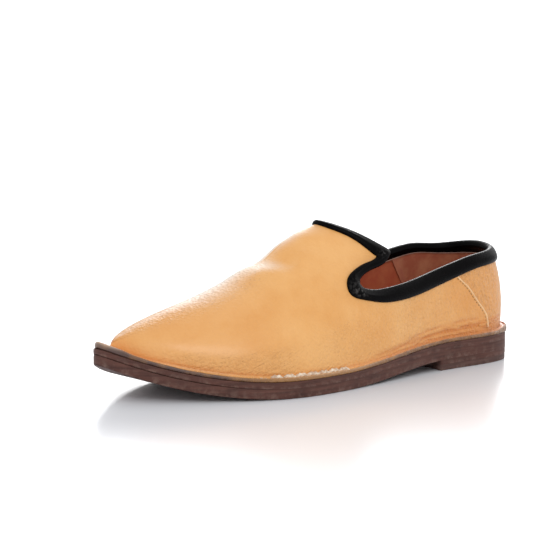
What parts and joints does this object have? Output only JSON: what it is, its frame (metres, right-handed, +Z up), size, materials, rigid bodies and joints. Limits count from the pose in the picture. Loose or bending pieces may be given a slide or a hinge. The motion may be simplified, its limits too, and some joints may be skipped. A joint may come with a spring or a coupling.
{
  "type": "slip-on shoe",
  "caption": "Left slip-on shoe: soft tan leather upper with a high vamp, side notches and a black bound collar, turned out over a thin brown sole with a low heel.",
  "frame": {"origin": "on the floor, at the centre of the shoe's box in plan", "axes": "+Z up, toe towards -Y, heel towards +Y, outer (lateral) side of the left foot towards +X"},
  "size_m": [0.0956, 0.268, 0.0875],
  "materials": {
    "upper": "soft grained tan leather, satin",
    "collar_binding": "smooth black leather strip, satin",
    "insole": "red-brown leather, matte",
    "midsole": "stained dark brown edge, slightly worn",
    "outsole": "stained dark brown edge, slightly worn",
    "heel_lift": "stained dark brown edge",
    "heel_top_piece": "brown rubber, scuffed at the edge"
  },
  "bodies": {
    "root": {"upper": "upper", "collar_binding": "collar_binding", "insole": "insole", "midsole": "midsole", "outsole": "outsole", "heel_lift": "heel_lift", "heel_top_piece": "heel_top_piece"}
  },
  "joints": []
}
